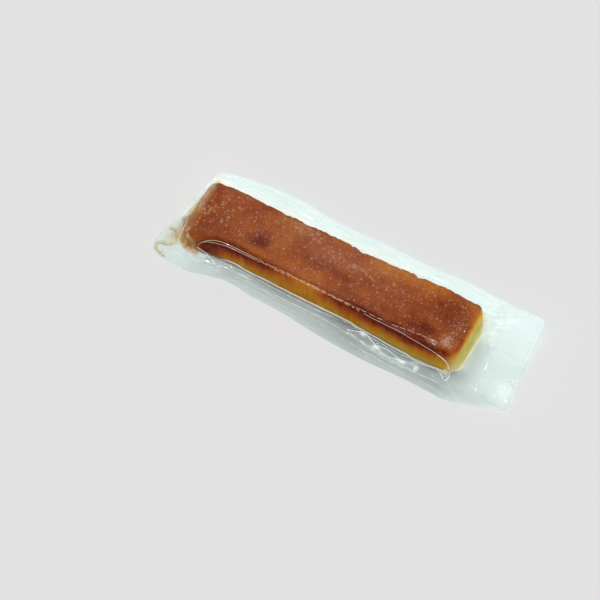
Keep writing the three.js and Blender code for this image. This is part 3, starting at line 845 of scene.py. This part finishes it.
row_reach = np.ones((len(film), 1))
row_reach[:tight_end] = 0
row_reach[tight_end:upper_end] = reach
cream = narrow_film ** 2 * ramp(row_reach, 0.85, 0.35) * (1 - 0.5 * ramp(across, -12, 0))
amber = ramp(ridge_field(along, across, CORNER_SMEAR, 3), 0.2, 0.7) * ramp(film[..., 2], 13, 10)
amber = amber * (1 - ramp(row_reach, 0.02, 0.2) * ramp(along, -95, -90))
amber = np.maximum(amber, 1.3 * bump_at(along, across, SHADED_SYRUP_POCKET, (1.8, 1.6)))
thick = np.clip(amber, 0, 1)
yellow_reflection_and_tint = ((0.22 - 0.05 * slack) * wide_film ** 2 + 0.10 * back_film ** 2) * ramp(row_reach, 0.12, 0)
yellow_reflection_and_tint = np.maximum(yellow_reflection_and_tint, spots_at(along, across, YELLOW_HIGHLIGHT_AND_TINT_SPOTS))
yellow_reflection_and_tint[:roof_end] = 0
smear = np.maximum(np.maximum(cream * (1 - 0.2 * amber), 0.78 * np.sqrt(thick)), yellow_reflection_and_tint)
smear[tight_end:upper_end] += 0.06 * back_crest
smear = smear * (1 + (0.05 + 0.15 * thick) * lumps(film * (1, 1, 0.3), 2.4, seed=36))
smear = np.clip(smear * (1 + 0.10 * lumps(film, 9, seed=38)), 0, 1) * (row_reach < 1)
haze = np.maximum(haze, 0.85 * thick * (row_reach < 1))
film_bag = closed_mesh("film_bag", [film], {
    "haze": [haze], "slack": [slack], "drawn": [drawn],
    "gleam": [gleam], "shade": [shade], "smear": [smear],
})


def run_along(points):
    """Length run so far at each point of a bent line, from 0 at its start."""
    return np.concatenate([[0], np.cumsum(np.linalg.norm(np.diff(points, axis=0), axis=1))])


def smooth_path(points, count, passes):
    """Even points along a bent line, rounded off by averaging each with its neighbours."""
    run = run_along(points)
    even = np.linspace(0, run[-1], count)
    path = np.column_stack([np.interp(even, run, column) for column in np.transpose(points)])
    for _ in range(passes):
        path[1:-1] = (path[:-2] + 2 * path[1:-1] + path[2:]) / 4
    return path


def path_on(surface, across, along, line, step=0.6, margin=3):
    """Smooth path on a surface under a bent line, which is given in two coordinates of the surface's
    points: the nearest of the points within a margin of the line, at each step along it."""
    path = smooth_path(line, int(run_along(line)[-1] / step) + 8, passes=12)
    low, high = path.min(0) - margin, path.max(0) + margin
    close = (across > low[0]) & (across < high[0]) & (along > low[1]) & (along < high[1])
    gap = (path[:, :1] - across[close]) ** 2 + (path[:, 1:] - along[close]) ** 2
    return smooth_path(surface[close][np.argmin(gap, axis=1)], len(path), passes=16)


def bead_rings(path, radius, up, wide=1, tall=1, sides=8):
    """Round bead along a path, tapered to a point at each end, and widened or flattened across it."""
    forward = np.gradient(path, axis=0)
    forward /= np.linalg.norm(forward, axis=1, keepdims=True)
    sideways = np.cross(forward, up)
    sideways /= np.linalg.norm(sideways, axis=1, keepdims=True)
    upward = np.cross(sideways, forward)
    share = np.linspace(0, 1, len(path))
    taper = radius * np.sqrt(np.clip(24 * share * (1 - share), 0, 1))
    turn = np.linspace(0, 2 * np.pi, sides, endpoint=False)
    across = (taper[:, None] * np.cos(turn) * wide)[..., None] * sideways[:, None]
    over = (taper[:, None] * np.sin(turn) * tall)[..., None] * upward[:, None]
    return path[:, None] + across + over


def uneven(path, radius):
    """Radius along a path that swells and thins by two sines of the length run so far."""
    run = run_along(path)
    return radius * (0.78 + 0.22 * np.sin(run * 0.9 + radius * 60) + 0.15 * np.sin(run * 2.3))


def dashes_of(line, stray, seed):
    """Short pieces of a bent line, of uneven length and spacing, each shifted a little to one side."""
    run = run_along(line)
    place, depth = np.transpose(line)
    draw = np.random.default_rng(seed)
    marks = np.cumsum(draw.uniform((1.2, 0.4), (5, 1.6), (60, 2)).ravel())
    pieces = []
    for start, end in zip(marks[1::2], marks[2::2]):
        if end < run[-1]:
            stops = np.linspace(start, end, 3)
            shifted = depth + draw.normal(scale=stray)
            pieces.append(np.column_stack([np.interp(stops, run, place), np.interp(stops, run, shifted)]))
    return pieces


# Sharp bends along the crests of the folds, where the film is creased: they are drawn white, partly as
# whitened film and partly as painted highlights.
SKIRT_UP, EDGE_UP = (0, 0, 1), (0.3, -0.5, 0.8)
tight_x, tight_y = along[:tight_end], across[:tight_end]
front_depth = np.where(front_film > 0.3, depth, np.inf)
highlight_dashes = [
    (piece, HIGHLIGHT_DASH_RADIUS, HIGHLIGHT_DASH_TINT)
    for seed, (line, stray) in enumerate(EDGE_HIGHLIGHT_DASHES) for piece in dashes_of(line, stray, seed)
]
skirt_paths = [path_on(film_upper, upper_x, upper_y, line) for line, *_ in SKIRT_FOLDS]
bends = [
    (bead_rings(path, uneven(path, radius), SKIRT_UP), whitening_and_highlight, 0)
    for path, (_, _, _, radius, whitening_and_highlight) in zip(skirt_paths, SKIRT_FOLDS)
] + [
    (bead_rings(path_on(tight, tight_x, front_depth, line), radius, EDGE_UP), 1, tint)
    for line, radius, tint in (*EDGE_FOLD_HIGHLIGHTS, *highlight_dashes)
] + [
    (bead_rings(path_on(tight, tight_x, tight_y, line), CORNER_RADIUS, EDGE_UP), 1, CORNER_TINT)
    for line in CORNER_FOLD_HIGHLIGHTS
]
bend_rings, whitening_and_highlight, tints = zip(*bends)
ones, zeros = [1] * len(bends), [0] * len(bends)
film_bends_and_highlights = closed_mesh("film_bends_and_highlights", bend_rings, {
    "haze": whitening_and_highlight, "slack": ones, "drawn": zeros, "gleam": ones, "shade": zeros, "smear": tints,
})

# Clear bag film: polyamide and polyethylene blown thin, glossy, with a faint blue-green milkiness
# where it is loose. The fine rumples are drawn a little coarser than real ones, so that they show.
RUMPLE_SIZE = 5
STREAK_SIZE = 1.3
STREAK_DRAW = 0.07
STREAK_SWING = 0.25

clear_film, tree = new_material("clear_film")
place = add_node(tree, "TexCoord", output="Object")
fields = {
    name: add_node(tree, "Attribute", output="Fac", attribute_name=name)
    for name in ("haze", "slack", "drawn", "gleam", "shade", "smear")
}
drawn_out = add_node(tree, "Mapping", {"Vector": place, "Scale": (STREAK_DRAW, 1, 1)})
streaks = add_node(tree, "TexNoise", {"Vector": drawn_out, "Scale": 1 / (STREAK_SIZE * MM)})
rumples = add_node(tree, "TexNoise", {"Vector": place, "Scale": 1 / (RUMPLE_SIZE * MM), "Detail": 3})
rumple_height = add_node(tree, "Mix", {0: fields["drawn"], 2: rumples, 3: streaks})
slack_rumples = add_node(tree, "Math", {0: rumple_height, 1: fields["slack"]}, operation="MULTIPLY")
film_normal = add_node(tree, "Bump", {"Height": slack_rumples, "Strength": 0.15, "Distance": 0.4 * MM})

streak_swing = add_node(tree, "MapRange", {0: streaks, 1: 0.3, 2: 0.7, 3: -STREAK_SWING, 4: STREAK_SWING})
haze_streak = add_node(tree, "Math", {0: streak_swing, 1: fields["drawn"], 2: 1}, **MULTIPLY_ADD)
haze_amount = add_node(tree, "Math", {0: fields["haze"], 1: haze_streak}, operation="MULTIPLY")
clear_tint = add_node(tree, "Mix", {
    0: fields["slack"], 6: linear("#fdfefe"), 7: linear("#f5faf9"),
}, **MIX_COLOURS)
# Painted shade darkens the film toward grey, in both its clear and its milky part.
shaded_tint = add_node(tree, "Mix", {
    0: fields["shade"], 6: clear_tint, 7: linear("#8f9698"),
}, **MIX_COLOURS)
# Smear tints the haze: cream to amber for syrup, and yellow for the painted reflection of the bar's walls.
haze_tint = add_node(tree, "ValToRGB", {"Fac": fields["smear"]}, stops=(
    (0.00, "#ebf8f6"),
    (0.08, "#fff9ec"),
    (0.22, "#d6d193"),
    (0.40, "#e2c9ae"),
    (0.60, "#d2ab70"),
    (0.80, "#c8964e"),
    (1.00, "#a87e5c"),
))
shaded_haze = add_node(tree, "Mix", {
    0: fields["shade"], 6: haze_tint, 7: linear("#a3a7ad"),
}, **MIX_COLOURS)
clear = add_node(tree, "BsdfTransparent", {"Color": shaded_tint})
milky = add_node(tree, "BsdfPrincipled", {
    "Base Color": shaded_haze, "Roughness": 0.5, "Specular IOR Level": 0, "Normal": film_normal,
})
body = add_node(tree, "MixShader", {0: haze_amount, 1: clear, 2: milky})

# Where it gleams fully it mirrors a twentieth of the light head on, and more toward a grazing angle.
facing = add_node(tree, "LayerWeight", {"Blend": 0.5, "Normal": film_normal}, output="Facing")
grazing = add_node(tree, "Math", {0: facing, 1: 5}, operation="POWER")
reflection = add_node(tree, "Math", {0: grazing, 1: 0.8, 2: 0.05}, **MULTIPLY_ADD)
mirror = add_node(tree, "Math", {0: reflection, 1: fields["gleam"]}, operation="MULTIPLY")
gloss = add_node(tree, "BsdfAnisotropic", {"Roughness": 0.05, "Normal": film_normal})
shader = add_node(tree, "MixShader", {0: mirror, 1: body, 2: gloss})
add_node(tree, "OutputMaterial", {"Surface": shader})
for piece in (film_bag, film_bends_and_highlights):
    piece.data.materials.append(clear_film)
    piece.visible_shadow = False
    piece.visible_glossy = False
    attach(piece, "root")
    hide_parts("sealed_bag")


# Syrup
# A little golden syrup, sweated out of the paste and squeezed into a fold of the narrow flap
# when the bag was pumped out, where it lies as a thin wandering bead between the two layers.
SYRUP_LINE = (
    (-106.4, -17.2), (-107.1, -15), (-104.5, -14.3), (-100.3, -17.3), (-97.6, -21.9), (-97.8, -25.5),
    (-101.2, -27.1), (-105, -27.1), (-107.8, -29.6), (-106.9, -32.6), (-102.4, -35.3), (-97.9, -34.3),
    (-95.7, -36.5), (-92.5, -39),
)
SYRUP_RADIUS = 0.5
CLOUD_SIZE = 3

syrup_path = path_on(film_lower, film_lower[..., 0], film_lower[..., 1], SYRUP_LINE) + (0, 0, FILM / 2)
swells = np.linspace(0, 1, len(syrup_path))
syrup_radius = SYRUP_RADIUS * (1 + 0.25 * np.sin(swells * 37) + 0.15 * np.sin(swells * 61))
bead = bead_rings(syrup_path, syrup_radius, SKIRT_UP, wide=1.7, tall=0.6, sides=12)
syrup_bead = closed_mesh("syrup_bead", [bead], {})

# Sugar syrup: clear, pale gold and wet, a little cloudy.
sugar_syrup, tree = new_material("sugar_syrup")
place = add_node(tree, "TexCoord", output="Object")
cloud = add_node(tree, "TexNoise", {"Vector": place, "Scale": 1 / (CLOUD_SIZE * MM)})
gold = add_node(tree, "ValToRGB", {"Fac": cloud}, stops=((0.35, "#ebe6b8"), (0.65, "#d8cd8c")))
shader = add_node(tree, "BsdfPrincipled", {
    "Base Color": gold, "Roughness": 0.15, "IOR": 1.45, "Alpha": 0.45,
})
add_node(tree, "OutputMaterial", {"Surface": shader})
syrup_bead.data.materials.append(sugar_syrup)
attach(syrup_bead, "root")


# Studio
# A plain pale floor under soft light: a wide lamp above on the right, a dim one in front, small ones
# above, in front and behind that draw the glints on the film's folds, and a dim even surround.
FLOOR_HALF = 3000
FLOOR_DROP = 0.1

corner = FLOOR_HALF * MM
drop = -FLOOR_DROP * MM
floor_mesh = bpy.data.meshes.new("floor")
floor_mesh.from_pydata([
    (-corner, -corner, drop), (corner, -corner, drop), (corner, corner, drop), (-corner, corner, drop),
], [], [(0, 1, 2, 3)])
floor = bpy.data.objects.new("floor", floor_mesh)
scene.collection.objects.link(floor)
pale_paper, tree = new_material("pale_paper")
shader = add_node(tree, "BsdfPrincipled", {
    "Base Color": linear("#e2e2e2"), "Roughness": 0.9, "Specular IOR Level": 0,
})
add_node(tree, "OutputMaterial", {"Surface": shader})
floor.data.materials.append(pale_paper)


def add_sun(name, toward, strength, angle, glints_only=False):
    """Lamp far off in one direction, as wide in the sky as its angle in degrees. Some only glint."""
    lamp = bpy.data.lights.new(name, "SUN")
    lamp.energy = strength
    lamp.angle = np.radians(angle)
    lamp_object = bpy.data.objects.new(name, lamp)
    lamp_object.rotation_euler = Vector(toward).to_track_quat("Z", "Y").to_euler()
    lamp_object.visible_diffuse = not glints_only
    scene.collection.objects.link(lamp_object)


add_sun("wide_lamp", (0.25, 0.05, 0.967), strength=2.3, angle=45)
add_sun("front_fill", (-0.1, -0.8, 0.6), strength=0.4, angle=60)
add_sun("overhead_glint", (-0.285, -0.164, 0.945), strength=1.5, angle=3, glints_only=True)
add_sun("front_glint", (-0.285, -0.83, 0.48), strength=0.6, angle=1.5, glints_only=True)
add_sun("side_glint", (0.315, 0.481, 0.819), strength=1, angle=3, glints_only=True)
world = bpy.data.worlds.new("surround")
scene.world = world
world.use_nodes = True
surround = world.node_tree.nodes["Background"]
surround.inputs["Color"].default_value = linear("#ffffff")
surround.inputs["Strength"].default_value = 0.22
scene.view_settings.view_transform = "Standard"
